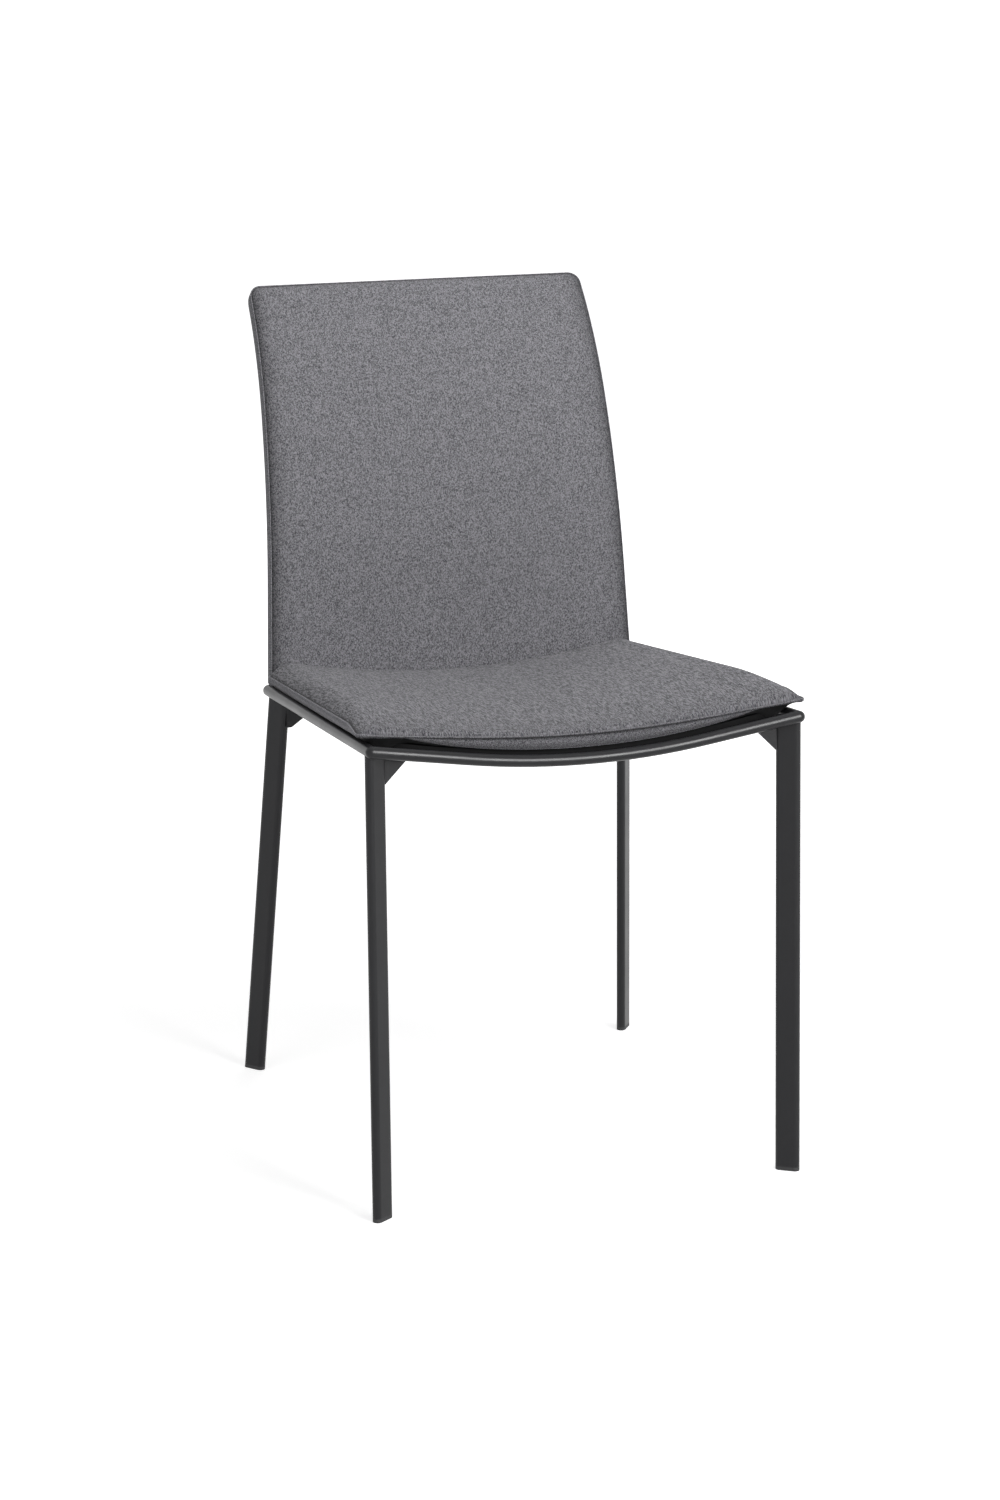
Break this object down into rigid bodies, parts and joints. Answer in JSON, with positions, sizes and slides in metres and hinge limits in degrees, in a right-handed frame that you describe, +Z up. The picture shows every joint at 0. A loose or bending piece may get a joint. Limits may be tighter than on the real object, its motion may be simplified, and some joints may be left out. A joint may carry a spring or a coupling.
{
  "type": "dining chair",
  "caption": "Upholstered dining chair: a dished seat and a backward-curved back in grey wool-look fabric on a dark steel rod ring with slim splayed legs.",
  "frame": {"origin": "on the floor, under the middle of the whole chair's box", "axes": "+Z up, front faces -Y, +X is the sitter's left"},
  "size_m": [0.4538, 0.5838, 0.8469],
  "materials": {
    "frame_steel": "satin powder coat, dark grey",
    "glide_plastic": "matte moulded nylon",
    "plywood": "raw moulded plywood",
    "foam": "cut polyurethane foam",
    "upholstery": "mid-grey melange felted wool blend",
    "stained_plywood": "black stained and lacquered moulded plywood"
  },
  "bodies": {
    "root": {"back_board": "plywood", "back_cover": "upholstery", "back_foam": "foam", "back_rear_cover": "upholstery", "front_left_glide": "glide_plastic", "front_left_gusset": "frame_steel", "front_left_leg": "frame_steel", "front_left_seat_tab": "frame_steel", "front_rail": "frame_steel", "front_right_glide": "glide_plastic", "front_right_gusset": "frame_steel", "front_right_leg": "frame_steel", "front_right_seat_tab": "frame_steel", "left_back_stay": "frame_steel", "left_side_rail": "frame_steel", "rear_left_glide": "glide_plastic", "rear_left_gusset": "frame_steel", "rear_left_leg": "frame_steel", "rear_left_seat_tab": "frame_steel", "rear_rail": "frame_steel", "rear_right_glide": "glide_plastic", "rear_right_gusset": "frame_steel", "rear_right_leg": "frame_steel", "rear_right_seat_tab": "frame_steel", "right_back_stay": "frame_steel", "right_side_rail": "frame_steel", "seat_board": "stained_plywood", "seat_cover": "upholstery", "seat_foam": "foam", "seat_under_cover": "upholstery"}
  },
  "joints": []
}
